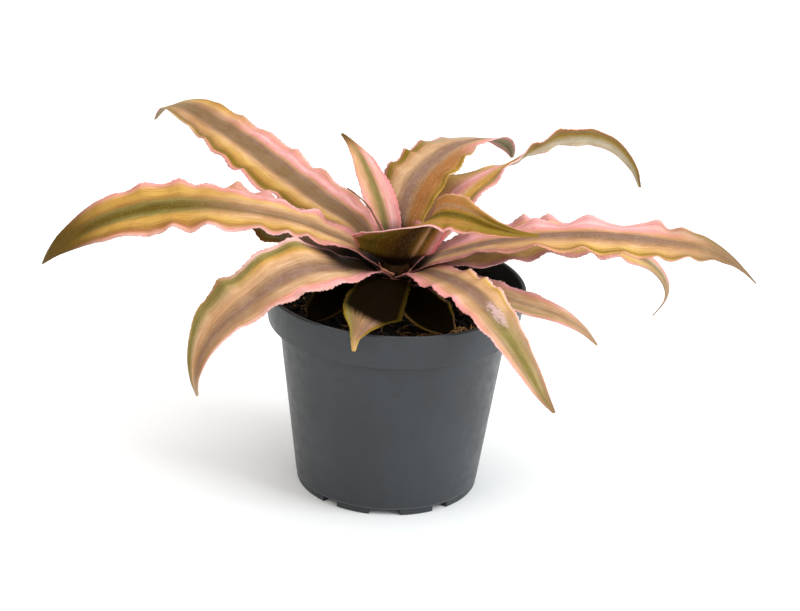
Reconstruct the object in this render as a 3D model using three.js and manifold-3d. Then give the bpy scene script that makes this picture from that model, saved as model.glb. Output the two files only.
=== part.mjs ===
// A pink star cryptanthus, a rosette of wavy striped leaves, growing in a plastic nursery pot.
// Millimetres, +Z up. The origin is the centre of the pot's base, on the surface it stands on.
// The plant leans out on all sides; -Y is the front, where two small leaves hang over the rim.

import * as THREE from 'three';
import { mergeVertices } from 'three/addons/utils/BufferGeometryUtils.js';
import Module from 'manifold-3d';

const wasm = await Module();
wasm.setup();

// Pot
const potHeight = 97;
const rimRadius = 60;
const bandHeight = 17.2;
const bandFootRadius = 57.5;
const bodyTopRadius = 52.4;
const bodyFootRadius = 42.4;
const wallThickness = 1.4;
const lipWidth = 2;
const lipRounding = 0.6;
const shoulderDrop = 0.8;
const footHeight = 3;
const footStep = 0.5;
const footWidth = 3.4;
const padRadius = 8;
const padSlope = 2;
const wideGapDegrees = 20;
const narrowGapDegrees = 11;
const narrowGapOffset = 37;
const drainHoleCount = 5;
const drainHoleRadius = 4.5;
const drainHoleCircle = 27;
const potSegments = 60;

// Soil, its top given by its depth below the rim
const soilDepthAtWall = 9.5;
const soilDepthAtStem = 8;
const soilRoughness = 0.7;
const soilRings = 7;
const soilSegments = 44;
const clearance = 0.35;
const soilClearance = 0.5;

// Stem, with heights measured from the rim
const stemRadius = 6.5;
const stemTopRadius = 5.2;
const stemFoot = -32;
const stemShoulder = 14.5;
const stemTop = 18;
const stemSegments = 20;

// Leaves
const leafSeat = stemRadius + 0.8;
const lowestLeaf = -1;
const leafStep = 1.8;
const flareLength = 8;
const waveRise = [12, 40];
const waveFadeShares = [0.55, 0.85];
const crestFade = 0.6;
const defaultCup = [14, 34];
const ribThickness = 1.3;
const marginThickness = 0.9;
const rowSpacing = 4.8;
const columnSpread = [-1, -0.7, -0.36, 0, 0.36, 0.7, 1];
const foldRatio = 0.04;

const plasticGrey = 0x4c5154;
const soilBrown = 0x1d1611;
const stemGreen = 0x5f6238;
const leafTan = 0xb08a5e;

function random(seed) {
  let state = seed;
  return () => {
    state = (state * 16807) % 2147483647;
    return state / 2147483647;
  };
}

function solidFrom(geometry) {
  const bare = geometry.clone();
  bare.deleteAttribute('normal');
  bare.deleteAttribute('uv');
  const merged = mergeVertices(bare, 1e-4);
  return new wasm.Manifold(new wasm.Mesh({
    numProp: 3,
    vertProperties: new Float32Array(merged.attributes.position.array),
    triVerts: new Uint32Array(merged.index.array),
  }));
}

function geometryFrom(solid) {
  const mesh = solid.getMesh();
  const geometry = new THREE.BufferGeometry();
  geometry.setAttribute('position', new THREE.BufferAttribute(mesh.vertProperties, 3));
  geometry.setIndex(new THREE.BufferAttribute(mesh.triVerts, 1));
  return geometry;
}

// LatheGeometry turns about Y, so the turned piece is stood up along Z.
function lathe(profile, segments) {
  const points = profile.map(([radius, height]) => new THREE.Vector2(radius, height));
  const geometry = new THREE.LatheGeometry(points, segments);
  geometry.rotateX(Math.PI / 2);
  return geometry;
}

function wedge(innerRadius, outerRadius, middle, width, bottom, top) {
  const shape = new THREE.Shape();
  const start = middle - width / 2;
  const end = middle + width / 2;
  shape.absarc(0, 0, outerRadius, start, end, false);
  shape.absarc(0, 0, innerRadius, end, start, true);
  shape.closePath();
  const depth = top - bottom;
  const geometry = new THREE.ExtrudeGeometry(shape, { depth, bevelEnabled: false, curveSegments: 3 });
  geometry.translate(0, 0, bottom);
  return geometry;
}

const bodyHeight = potHeight - bandHeight;

// Inside of the pot: the wall follows the body, steps out behind the band and ends under the lip.
const innerWall = [
  [bodyFootRadius - wallThickness, footHeight + wallThickness],
  [bodyTopRadius - wallThickness, bodyHeight - shoulderDrop],
  [bandFootRadius - wallThickness, bodyHeight + wallThickness],
  [rimRadius - lipWidth, potHeight - lipRounding],
];

function pot() {
  const floorTop = footHeight + wallThickness;
  const outside = [
    [0, 0],
    [padRadius, 0],
    [padRadius + padSlope, footHeight],
    [bodyFootRadius - footStep - footWidth, footHeight],
    [bodyFootRadius - footStep - footWidth, 0],
    [bodyFootRadius - 2 * footStep, 0],
    [bodyFootRadius - footStep, footStep],
    [bodyFootRadius - footStep, footHeight],
    [bodyFootRadius, footHeight + footStep],
    [bodyTopRadius, bodyHeight - shoulderDrop],
    [bandFootRadius - lipRounding, bodyHeight],
    [bandFootRadius, bodyHeight + lipRounding],
    [rimRadius, potHeight - lipRounding],
    [rimRadius - lipRounding, potHeight],
    [rimRadius - lipWidth + lipRounding, potHeight],
  ];
  const inside = [
    ...[...innerWall].reverse(),
    [padRadius + padSlope, floorTop],
    [padRadius, wallThickness],
    [0, wallThickness],
  ];
  let solid = solidFrom(lathe([...outside, ...inside], potSegments));
  const inner = bodyFootRadius - 2 * footWidth;
  const outer = bodyFootRadius + footWidth;
  for (const middle of [-90, 90]) {
    for (const side of [-1, 0, 1]) {
      const angle = THREE.MathUtils.degToRad(middle + side * narrowGapOffset);
      const width = THREE.MathUtils.degToRad(side === 0 ? wideGapDegrees : narrowGapDegrees);
      const cut = wedge(inner, outer, angle, width, -footHeight, footHeight - footStep / 2);
      solid = solid.subtract(solidFrom(cut));
    }
  }
  for (let k = 0; k < drainHoleCount; k++) {
    const middle = -Math.PI / 2 + (k / drainHoleCount) * Math.PI * 2;
    const hole = new THREE.CylinderGeometry(drainHoleRadius, drainHoleRadius, footHeight * 4, 16);
    hole.rotateX(Math.PI / 2);
    hole.translate(Math.cos(middle) * drainHoleCircle, Math.sin(middle) * drainHoleCircle, footHeight);
    solid = solid.subtract(solidFrom(hole));
  }
  return geometryFrom(solid);
}

// The soil fills the pot to below its rim, with crumbs on top and a plain hole where the stem stands.
function soil() {
  const hole = stemRadius + clearance;
  const wallTop = potHeight - soilDepthAtWall;
  const [low, high, , lip] = innerWall;
  const bandRun = (wallTop - innerWall[2][1]) / (lip[1] - innerWall[2][1]);
  const outer = THREE.MathUtils.lerp(innerWall[2][0], lip[0], bandRun) - soilClearance;
  const floorTop = low[1] + clearance;
  const profile = [
    [0, wallThickness + clearance],
    [padRadius - soilClearance, wallThickness + clearance],
    [padRadius + padSlope - soilClearance, floorTop],
    [low[0] - soilClearance, floorTop],
    [high[0] - soilClearance, high[1] + clearance],
    [innerWall[2][0] - soilClearance, innerWall[2][1] + clearance],
    [outer, wallTop],
  ];
  for (let ring = 1; ring <= soilRings; ring++) {
    const t = ring / soilRings;
    const radius = THREE.MathUtils.lerp(outer - 1, hole, t);
    profile.push([radius, potHeight - THREE.MathUtils.lerp(soilDepthAtWall, soilDepthAtStem, t)]);
  }
  profile.push([hole, potHeight + stemFoot - clearance]);
  profile.push([0, potHeight + stemFoot - clearance]);

  const geometry = lathe(profile, soilSegments);
  geometry.deleteAttribute('normal');
  geometry.deleteAttribute('uv');
  const merged = mergeVertices(geometry, 1e-4);
  const position = merged.attributes.position;
  const draw = random(7);
  const looseTop = wallTop - 0.1;
  for (let i = 0; i < position.count; i++) {
    const radius = Math.hypot(position.getX(i), position.getY(i));
    const lift = (draw() * 2 - 1) * soilRoughness;
    if (position.getZ(i) > looseTop && radius > hole + 1 && radius < outer - 0.5) {
      position.setZ(i, position.getZ(i) + lift);
    }
  }
  return merged;
}

function stem() {
  const foot = potHeight + stemFoot;
  const top = potHeight + stemTop;
  const shoulder = potHeight + stemShoulder;
  return lathe([
    [0, foot],
    [stemRadius * 0.7, foot],
    [stemRadius, foot + 6],
    [stemRadius, potHeight + 8],
    [stemTopRadius, potHeight + 11],
    [stemTopRadius * 0.85, shoulder],
    [stemTopRadius * 0.45, top - 0.6],
    [0, top],
  ], stemSegments);
}

// A leaf's line is a list of [azimuth, radius, height above the rim, left, right, roll]: where the rib
// runs, how wide the blade is on either side of it as seen from the stem, and its roll in degrees.
// Every sheath starts on the stem and climbs like its neighbours, so that the sheaths nest as bowls.
// Its spread is the half angle, in radians, that it wraps about the stem.
function sheath(level, azimuth, steepness, spread) {
  const height = lowestLeaf + leafStep * level;
  const climb = [[leafSeat, 0, 1], [10, 2.3, 1], [14, 5.2, 0.88], [20, 8.6, 0.7]];
  return climb.map(([radius, rise, narrowing]) => {
    const width = radius * spread * narrowing;
    return [azimuth, radius, height + rise * steepness, width, width, 0];
  });
}

// The waves are [height, spacing, start on the left, start on the right] along the two margins.
// A margin with crests has them as [length along the leaf, height], in place of the even waves.
const leaves = {
  leaf_back_left: {
    line: [...sheath(4, 134, 1.05, 0.85),
      [132, 30, 19.4, 11.5, 14, -4], [131.5, 50, 22, 13.5, 14.5, -8], [132, 72, 26, 16.5, 15, -10],
      [132, 95, 30, 16.2, 15, -12], [132, 118, 34.5, 15.5, 13.2, -12], [132, 141, 36.5, 11, 13.8, -10],
      [132, 158, 38, 9, 12.5, -8], [132, 171, 36, 5.4, 7.5, -4], [132, 179, 31.6, 2.4, 2.6, 0],
      [132, 184.7, 25.1, 0.7, 0.7, 0]],
    waves: [2, 21],
    crestsLeft: [[30, 1.5], [48, 1.6], [66, 2.1], [91, 2.2], [107, 1], [124, 1.4], [141, 0.9]],
    crestsRight: [[28, 1.5], [46, 1.7], [67, 2], [87, 1.9], [107, 1], [128, 1], [147, 0.6]],
  },
  leaf_left: {
    line: [[182, 7.3, 8, 4.5, 6.2, 0], [182, 10, 10.8, 5, 8.5, 0], [182, 14, 14.2, 5.5, 10.5, 0],
      [182, 20, 18.3, 8, 11.9, 0], [182, 30, 22.5, 10.5, 12.5, -8], [182, 44, 28, 13, 12.5, -8],
      [182, 67, 32.5, 15, 13, -14], [182, 89, 34.5, 15, 14, -22], [182, 111, 32, 15, 14.5, -30],
      [182, 134, 24, 11.3, 13.2, -28], [182, 152, 12, 5.5, 8.8, -16], [182, 158, 6.4, 2.6, 3.8, -12],
      [182, 160, 4, 0.7, 0.7, -10]],
    waves: [1.6, 20],
    crestsLeft: [[26, 1.2], [39, 1.3], [48, 1.2], [60, 2], [84, 2.6], [100, 2.6], [126, 0.7]],
    crestsRight: [[22, 1.4], [36, 1.8], [54, 0.7], [72, 0.6], [84, 0.5], [97, 2], [114, 1.1], [128, 0.4]],
  },
  leaf_left_under: {
    line: [...sheath(2, 165, 1, 0.7),
      [165, 31, 14, 13, 11, -6], [165.5, 46, 17.4, 15, 11.5, -10], [165, 60, 22, 15, 14.5, -14],
      [165, 76, 26.5, 13, 15, -12], [165, 92, 28, 9, 11, -6], [165, 106, 25.5, 4.5, 4.5, 0],
      [165, 115, 21, 0.7, 0.7, 0]],
    waves: [1.8, 20, 1, 0],
    crestsRight: [[36, 1.2], [50, 0.8], [65, 1.8], [79, 3], [95, 0.6]],
  },
  leaf_front_left: {
    line: [...sheath(3, 220, 1, 0.7),
      [220, 32, 15, 13, 16, -16], [220, 48, 18, 13.5, 18, -24], [220, 64, 16.5, 12.5, 18.5, -20],
      [220, 80, 10, 9.8, 18.5, -14], [220, 94, 3, 6.8, 17.5, -10], [220, 105, -6, 5.2, 10.5, -6],
      [221, 111, -18, 1.8, 4.5, 0], [222, 112, -25.4, 0.7, 0.7, 0]],
    waves: [1.8, 24],
    crestsLeft: [[35, 1.5], [57, 1.6], [74, 0.9], [96, 0.4]],
    crestsRight: [[22, 0.8], [46, 1.1], [62, 1.4], [81, 3.3], [100, 0.4]],
  },
  leaf_front_over_rim: {
    line: [...sheath(2, 262, 0.85, 0.7),
      [260, 28, 10.5, 12, 12, 0], [258, 40, 8.8, 14, 12, 0], [257, 50, 6, 15, 11.5, -8],
      [256.7, 56, 4.6, 10.5, 8.5, 0], [256.4, 62, 2.9, 5.2, 4.4, 0], [256.2, 68, 0.9, 2, 1.8, 0],
      [257, 73, -2.4, 0.7, 0.7, 0]],
    waves: [1, 18, 0, 1],
  },
  leaf_front_right: {
    line: [...sheath(3, 310, 1, 0.7),
      [310, 30, 15, 10.5, 13, 4], [310, 53, 15.5, 10.5, 13.5, 6], [310, 70, 9.5, 8.5, 12.5, 6],
      [310, 85, 0, 5.5, 9, 6], [310, 97, -11, 4, 5.5, 6], [310, 104, -17, 2.4, 3, 6],
      [310, 110, -21, 0.7, 0.7, 6]],
    waves: [1.4, 16],
    crestsLeft: [[21, 1], [35, 1.5], [46, 1.5], [56, 1.1], [70, 0.6], [84, 0.4]],
    crestsRight: [[24, 1], [36, 1.4], [50, 1.2], [64, 0.7], [78, 0.4]],
  },
  leaf_right_small: {
    line: [...sheath(1, 338, 0.7, 0.8),
      [338, 30, 7.4, 11, 10, 0], [338, 46, 4.6, 10.5, 9.5, 4], [338, 62, 2.6, 10, 8.5, 6],
      [338, 78, 0.6, 7.5, 6.5, 4], [338, 90, -3.6, 4, 3.6, 0], [338, 98, -9.5, 0.7, 0.7, 0]],
    waves: [0.5, 18, 0, 1],
  },
  leaf_right: {
    line: [...sheath(4, 358, 1.05, 0.85),
      [358, 30, 19, 12, 12, 0], [358, 44, 23.2, 12.5, 13, 0], [358, 62, 27, 12.5, 14.5, 4],
      [358, 87, 29.4, 12, 16, 10], [358, 104, 29.4, 11.5, 16.5, 12], [358, 120, 28.2, 12, 15.5, 12],
      [358, 137, 26, 11.5, 11.5, 8], [358, 150, 21, 8, 5.5, 0], [358, 157, 16.2, 3.6, 2.2, 0],
      [358, 163, 10.8, 0.7, 0.7, 0]],
    waves: [2, 18],
    crestsLeft: [[30, 1.5], [60, 2], [83, 2.5], [115, 2.3], [126, 1]],
    crestsRight: [[33, 1], [60, 1.6], [81, 1.8], [99, 1.4], [114, 1.4], [128, 1.1], [140, 0.6]],
  },
  leaf_right_under: {
    line: [...sheath(2, 22, 0.9, 0.7),
      [20, 29, 11.5, 13, 13, 4], [18, 45, 14, 15, 15, 10], [17, 69, 17.5, 15.5, 15.5, 12],
      [17, 93, 14, 13.5, 13, 12], [17, 108, 9.5, 9.5, 9, 18], [17, 118.8, 4.2, 6, 5.5, 30],
      [17, 127.5, -2, 3.6, 3.6, 40], [17, 132.6, -9, 2.8, 2.8, 45], [17, 134, -14.8, 2.4, 2.4, 45],
      [17, 132.6, -20, 1.6, 1.6, 40], [17, 128, -25.9, 0.7, 0.7, 30]],
    waves: [1.8, 20, 1, 0.5],
    crestsLeft: [[30, 1.4], [45, 1.6], [61, 1.9], [72, 2], [91, 1.7], [100, 1.2]],
  },
  leaf_back_right: {
    line: [...sheath(5, 40, 1.42, 0.8),
      [40, 27, 27.5, 14.5, 12, 2], [40, 40, 37, 14.5, 11, 0], [40, 54, 42.5, 12, 10, -12],
      [40, 68, 46, 8, 7.5, -38], [40, 80, 48.5, 6, 6, -55], [40, 95, 51, 5.8, 5.8, -62],
      [40, 113, 49, 5.3, 5, -62], [40, 132, 41.2, 3.6, 3.4, -60], [40, 147.4, 26.3, 1.9, 1.9, -45],
      [40, 152.7, 15.7, 0.7, 0.7, -20]],
    waves: [1, 20, 0, 1],
  },
  leaf_back: {
    line: [[84, 7, 10.2, 6, 6, 0], [84, 9.2, 17, 8.5, 8.5, 0], [82, 12, 25.5, 11, 10.5, 0],
      [78, 17, 34, 13.5, 12, 0], [71, 26, 42.5, 15.5, 13.5, 0], [65, 38, 47, 16.5, 12, 0],
      [63, 54, 49, 16, 10, -4], [61.5, 64.5, 48.8, 13, 7, -6], [60.5, 72.5, 48.2, 9, 6, -8],
      [59.5, 80, 47.2, 7, 7, -12], [58.2, 85.6, 45.4, 6.2, 6.6, -18], [57, 90, 42.6, 4.8, 5, -22],
      [56, 92.8, 39, 2.6, 2.6, -22], [55.5, 93.4, 35.6, 0.7, 0.7, -20]],
    waves: [1.4, 16],
    crestsLeft: [[24, 0.8], [38, 1.4], [50, 1.5], [65, 1.2], [77, 0.8]],
    crestsRight: [[30, 0.8], [45, 1.3], [60, 1.3], [76, 0.7]],
  },
  leaf_back_young: {
    line: [[128, 6.1, 13.6, 5, 5, 0], [128, 8, 20, 6.6, 6.6, 0], [127, 10.4, 27, 8, 8, 0],
      [126, 14.2, 33.5, 8.2, 8.2, 0], [126, 18.8, 39, 8, 8, 0], [126, 24.5, 45.5, 6.6, 6.6, 0],
      [126, 31, 51, 4.8, 4.8, 0], [126, 39, 55, 2.4, 2.4, 0], [126, 47, 57.5, 0.7, 0.7, 0]],
    waves: [0.7, 14, 0, 1],
  },
  leaf_heart: {
    line: [[205, 5.1, 15.6, 2.6, 2.6, 0], [205, 6.2, 21, 2.4, 2.4, 0], [205, 8.4, 28, 2.2, 2.2, 0],
      [204, 12, 35, 1.8, 1.8, 0], [203, 17, 42, 1.4, 1.4, 0], [203, 25, 49, 0.8, 0.8, 0]],
    waves: [0, 10, 0, 0],
  },
  leaf_front_young: {
    line: [[288, 6.1, 12, 5.6, 10, 0], [289, 9.8, 18, 8.4, 17.5, 0], [291, 13.6, 25, 12, 23, 0],
      [298, 16, 31, 14, 19, 10], [312, 19, 36.5, 14.5, 14, 24], [324, 25, 41, 12.5, 11.5, 28],
      [332, 35, 40.6, 8.5, 10, 22], [336, 45, 37.5, 5.2, 7.5, 14], [340, 56, 35, 2.8, 4, 8],
      [342, 66, 34.8, 0.7, 0.7, 6]],
    waves: [0.5, 14, 0, 1],
    cup: [20, 36],
    flare: 7.5,
  },
  leaf_front_low: {
    line: [...sheath(0, 292, 0.7, 0.56),
      [293, 27, 3.2, 10.5, 11, 6], [296, 36, 0.2, 11, 10.5, 8], [299, 43, -2.6, 8, 8, 6],
      [301, 48, -4.6, 3.5, 3.5, 4]],
    waves: [1.4, 14, 0, 1],
  },
  leaf_left_low: {
    line: [...sheath(0, 222, 0.65, 0.56),
      [222, 28, 4.4, 11, 11, 0], [223, 38, 1.2, 11.5, 11.5, 0], [224, 46, -2.4, 8, 8, 0],
      [224, 50.5, -4.6, 3, 3, 0]],
    waves: [1.2, 14, 0, 1],
  },
  leaf_back_low_1: {
    line: [...sheath(0, 102, 0.8, 0.8),
      [100, 30, 7, 12, 12, 0], [98, 48, 7, 12.5, 12.5, 0], [97, 64, 5, 11, 11, 0], [96, 80, -1, 7, 7, 0],
      [96, 90, -8, 0.7, 0.7, 0]],
    waves: [1.8, 20, 0, 1],
  },
  leaf_back_low_2: {
    line: [...sheath(1, 136, 0.9, 0.8),
      [132, 30, 10.5, 12, 12, 0], [127, 48, 13, 12.5, 12.5, 0], [123, 68, 12.5, 12, 12, 0],
      [121, 86, 7, 8.5, 8.5, 0], [120, 100, -3, 0.7, 0.7, 0]],
    waves: [1.8, 20, 0, 1],
  },
  leaf_back_low_3: {
    line: [...sheath(3, 76, 0.95, 0.7),
      [76, 30, 14.5, 12, 12, 0], [76, 48, 16.5, 13, 13, 0], [76, 66, 12.5, 12, 12, 0],
      [76, 82, 5.5, 8, 8, 0], [76, 94, -4, 0.7, 0.7, 0]],
    waves: [1.8, 20, 0, 1],
  },
};

function smoothstep(from, to, value) {
  return THREE.MathUtils.smoothstep(value, from, to);
}

// Samples the line evenly along its length and carries the widths and the roll with it.
function sampleLine(line) {
  const points = line.map(([azimuth, radius, height]) => {
    const angle = THREE.MathUtils.degToRad(azimuth);
    return new THREE.Vector3(Math.cos(angle) * radius, Math.sin(angle) * radius, potHeight + height);
  });
  const curve = new THREE.CatmullRomCurve3(points, false, 'centripetal');
  const spans = points.length - 1;
  const perSpan = 24;
  const fine = [];
  let length = 0;
  for (let i = 0; i <= spans * perSpan; i++) {
    const span = Math.min(Math.floor(i / perSpan), spans - 1);
    const local = i / perSpan - span;
    const point = curve.getPoint(i / (spans * perSpan));
    if (i > 0) {
      length += point.distanceTo(fine[i - 1].point);
    }
    const between = (k) => THREE.MathUtils.lerp(line[span][k], line[span + 1][k], local);
    fine.push({ point, length, left: between(3), right: between(4), roll: between(5) });
  }
  const rows = Math.round(length / rowSpacing);
  const samples = [];
  let next = 0;
  for (let row = 0; row <= rows; row++) {
    const wanted = (row / rows) * length;
    while (next < fine.length - 2 && fine[next + 1].length < wanted) {
      next++;
    }
    const a = fine[next];
    const b = fine[next + 1];
    const share = THREE.MathUtils.clamp((wanted - a.length) / (b.length - a.length), 0, 1);
    samples.push({
      point: a.point.clone().lerp(b.point, share),
      length: wanted,
      left: THREE.MathUtils.lerp(a.left, b.left, share),
      right: THREE.MathUtils.lerp(a.right, b.right, share),
      roll: THREE.MathUtils.lerp(a.roll, b.roll, share),
    });
  }
  return samples;
}

function interpolate(places, values, place) {
  const next = places.findIndex((other) => other >= place);
  if (next < 0) {
    return values[values.length - 1];
  }
  if (next === 0) {
    return values[0];
  }
  const share = (place - places[next - 1]) / (places[next] - places[next - 1]);
  return THREE.MathUtils.lerp(values[next - 1], values[next], share);
}

// How far a margin rises at a length along the leaf. The waves fade out towards the tip.
function marginWave(length, total, [height, spacing], start, crests) {
  if (!crests) {
    const fading = smoothstep(waveFadeShares[0] * total, waveFadeShares[1] * total, length);
    const fade = smoothstep(waveRise[0], waveRise[1], length) * (1 - fading);
    return height * fade * Math.sin((2 * Math.PI * length) / spacing + start);
  }
  const places = crests.map(([place]) => place);
  const heights = crests.map(([, crestHeight]) => crestHeight);
  const before = places[0] - spacing;
  const last = places[places.length - 1];
  const knots = [before, ...places, last + spacing];
  const phase = interpolate(knots, knots.map((_, k) => k), length);
  const end = last + crestFade * spacing;
  const size = interpolate([before, ...places, end], [0, ...heights, 0], length);
  return size * Math.cos(2 * Math.PI * phase);
}

// Points of the blade's middle surface: a sheath about the stem that opens into a free, waved blade.
// The flare is how far a sheath's margins lean out from the stem.
function middleSurface({ line, waves, crestsLeft, crestsRight, cup = defaultCup, flare = 0 }) {
  const samples = sampleLine(line);
  const total = samples[samples.length - 1].length;
  const [, , startLeft, startRight] = waves;
  return samples.map(({ point, length, left, right, roll }, row) => {
    const before = samples[Math.max(row - 1, 0)].point;
    const after = samples[Math.min(row + 1, samples.length - 1)].point;
    const along = after.clone().sub(before).normalize();
    const azimuth = Math.atan2(point.y, point.x);
    const across = new THREE.Vector3(-Math.sin(azimuth), Math.cos(azimuth), 0);
    across.addScaledVector(along, -across.dot(along)).normalize();
    const out = along.clone().cross(across);
    const angle = THREE.MathUtils.degToRad(roll);
    const side = across.clone().multiplyScalar(Math.cos(angle)).addScaledVector(out, Math.sin(angle));
    const face = out.clone().multiplyScalar(Math.cos(angle)).addScaledVector(across, -Math.sin(angle));
    const waveLeft = marginWave(length, total, waves, startLeft, crestsLeft);
    const waveRight = marginWave(length, total, waves, startRight, crestsRight);
    const opened = smoothstep(cup[0], cup[1], length);
    const radius = Math.hypot(point.x, point.y);
    return columnSpread.map((share) => {
      const reach = share * (share > 0 ? left : right);
      const wave = share * share * (share > 0 ? waveLeft : waveRight);
      const lift = 2 * foldRatio * Math.abs(reach) * Math.sqrt(Math.abs(share)) + wave;
      const free = point.clone().addScaledVector(side, reach).addScaledVector(face, lift);
      const turn = azimuth + reach / radius;
      const around = radius + flare * share * share * smoothstep(0, flareLength, length);
      const wrapped = new THREE.Vector3(Math.cos(turn) * around, Math.sin(turn) * around, point.z);
      return wrapped.lerp(free, opened);
    });
  });
}

// Thickens the middle surface to both sides of itself and closes the margins, the seat and the tip.
function leaf(shape) {
  const grid = middleSurface(shape);
  const rows = grid.length;
  const columns = columnSpread.length;
  const positions = [];
  for (const direction of [1, -1]) {
    for (let i = 0; i < rows; i++) {
      for (let j = 0; j < columns; j++) {
        const alongRow = grid[Math.min(i + 1, rows - 1)][j].clone().sub(grid[Math.max(i - 1, 0)][j]);
        const acrossRow = grid[i][Math.min(j + 1, columns - 1)].clone().sub(grid[i][Math.max(j - 1, 0)]);
        const normal = alongRow.cross(acrossRow).normalize();
        const thickness = THREE.MathUtils.lerp(ribThickness, marginThickness, Math.abs(columnSpread[j]));
        const taper = THREE.MathUtils.lerp(1, 0.75, smoothstep(rows - 5, rows - 1, i));
        const place = grid[i][j].clone().addScaledVector(normal, direction * thickness * taper / 2);
        positions.push(place.x, place.y, place.z);
      }
    }
  }
  const index = [];
  const at = (side, i, j) => side * rows * columns + i * columns + j;
  for (let i = 0; i < rows - 1; i++) {
    for (let j = 0; j < columns - 1; j++) {
      index.push(at(0, i, j), at(0, i + 1, j), at(0, i + 1, j + 1));
      index.push(at(0, i, j), at(0, i + 1, j + 1), at(0, i, j + 1));
      index.push(at(1, i, j), at(1, i + 1, j + 1), at(1, i + 1, j));
      index.push(at(1, i, j), at(1, i, j + 1), at(1, i + 1, j + 1));
    }
  }
  const border = [];
  for (let i = 0; i < rows - 1; i++) {
    border.push([i, 0]);
  }
  for (let j = 0; j < columns - 1; j++) {
    border.push([rows - 1, j]);
  }
  for (let i = rows - 1; i > 0; i--) {
    border.push([i, columns - 1]);
  }
  for (let j = columns - 1; j > 0; j--) {
    border.push([0, j]);
  }
  border.forEach(([i, j], k) => {
    const [ni, nj] = border[(k + 1) % border.length];
    index.push(at(0, i, j), at(1, ni, nj), at(0, ni, nj));
    index.push(at(0, i, j), at(1, i, j), at(1, ni, nj));
  });
  const geometry = new THREE.BufferGeometry();
  geometry.setAttribute('position', new THREE.Float32BufferAttribute(positions, 3));
  geometry.setIndex(index);
  return geometry;
}

function named(name, geometry, color, roughness) {
  const material = new THREE.MeshStandardMaterial({ color, roughness, metalness: 0 });
  const mesh = new THREE.Mesh(geometry, material);
  mesh.name = name;
  return mesh;
}

const plant = new THREE.Group();
plant.add(named('stem', stem(), stemGreen, 0.8));
for (const [name, shape] of Object.entries(leaves)) {
  plant.add(named(name, leaf(shape), leafTan, 0.55));
}

const part = new THREE.Group();
part.add(named('pot', pot(), plasticGrey, 0.5));
part.add(named('soil', soil(), soilBrown, 1));
part.add(plant);

export default part;
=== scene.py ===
# The looks of a pink star cryptanthus in its nursery pot: fine leaves, soil, pot, floor, lights and camera.
import random
from math import cos, exp, hypot, pi, radians, sin, sqrt

import bpy
import bmesh
import numpy as np
from mathutils import Matrix, Vector, noise


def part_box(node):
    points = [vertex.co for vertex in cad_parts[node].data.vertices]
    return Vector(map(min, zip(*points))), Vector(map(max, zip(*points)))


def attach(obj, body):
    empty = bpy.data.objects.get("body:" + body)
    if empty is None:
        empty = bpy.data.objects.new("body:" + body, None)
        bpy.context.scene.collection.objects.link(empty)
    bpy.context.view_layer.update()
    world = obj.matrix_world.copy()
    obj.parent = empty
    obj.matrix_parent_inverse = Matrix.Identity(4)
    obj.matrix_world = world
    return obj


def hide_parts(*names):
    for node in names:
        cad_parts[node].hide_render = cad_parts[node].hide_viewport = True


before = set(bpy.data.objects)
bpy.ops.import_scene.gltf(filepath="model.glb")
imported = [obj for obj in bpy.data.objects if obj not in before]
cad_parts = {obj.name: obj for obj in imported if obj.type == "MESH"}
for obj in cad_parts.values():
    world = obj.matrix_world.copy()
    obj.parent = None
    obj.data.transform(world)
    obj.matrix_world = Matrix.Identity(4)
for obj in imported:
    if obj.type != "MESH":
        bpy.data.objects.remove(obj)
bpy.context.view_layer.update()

MM = 0.001

# The pot's rim, in metres
POT_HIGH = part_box("pot")[1]
RIM_HEIGHT = POT_HIGH.z
RIM_RADIUS = POT_HIGH.x

# The camera looks a little down, and is turned so that the pot leans as in the photograph
CAMERA_PLACE = Vector((0, -1.0879, 0.5564))
CAMERA_AIM = Vector((0.0027, 0, 0.0863))
CAMERA_ROLL = 2.76
CAMERA_LENS = 116.7

# Leaf build, with lengths in millimetres
STEM_RADIUS = 6.5
LEAF_SEAT = STEM_RADIUS + 0.8
LOWEST_LEAF = -1
LEAF_STEP = 1.8
FLARE_LENGTH = 8
FOLD_RATIO = 0.04
ROW_SPACING = 0.5
ROWS_SMOOTHED = 9
COLUMNS = 31
RIB_THICKNESS = 1.2
MARGIN_THICKNESS = 0.42
TOOTH_LENGTH = 2.1
FRILL_LENGTH = 4.2
WIDTH_LENGTH = 11
SWELL_LENGTH = 17
WAVE_POINT = 1.5


def srgb(red, green, blue):
    """A colour given by its screen values, as the linear colour that a shader takes."""
    def linear(value):
        part = value / 255
        return part / 12.92 if part <= 0.04045 else ((part + 0.055) / 1.055) ** 2.4
    return (linear(red), linear(green), linear(blue), 1)


WHITE = srgb(255, 255, 255)
# shade, night and bark are the colours of the painted shade at the leaf bases
PALETTE = dict(
    pale=srgb(240, 190, 188), pink=srgb(234, 159, 162), rose=srgb(230, 116, 128), salmon=srgb(224, 162, 138),
    straw=srgb(221, 181, 114), peach=srgb(218, 173, 128), sand=srgb(204, 165, 128), tan=srgb(192, 148, 107),
    rust=srgb(168, 114, 64), clay=srgb(161, 127, 97), taupe=srgb(138, 110, 78), mauve=srgb(146, 114, 98),
    dun=srgb(164, 144, 98), gold=srgb(203, 159, 80), honey=srgb(172, 128, 64), olive=srgb(138, 112, 36),
    moss=srgb(106, 88, 24), green=srgb(134, 122, 66), sage=srgb(150, 134, 84), brown=srgb(100, 72, 14),
    bronze=srgb(98, 74, 6), husk=srgb(168, 138, 110), umber=srgb(68, 42, 14), bark=srgb(44, 26, 12),
    shade=srgb(22, 12, 5), night=srgb(9, 5, 2), silver=srgb(178, 168, 144), ash=srgb(202, 188, 164),
    grey=srgb(132, 124, 96))

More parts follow.
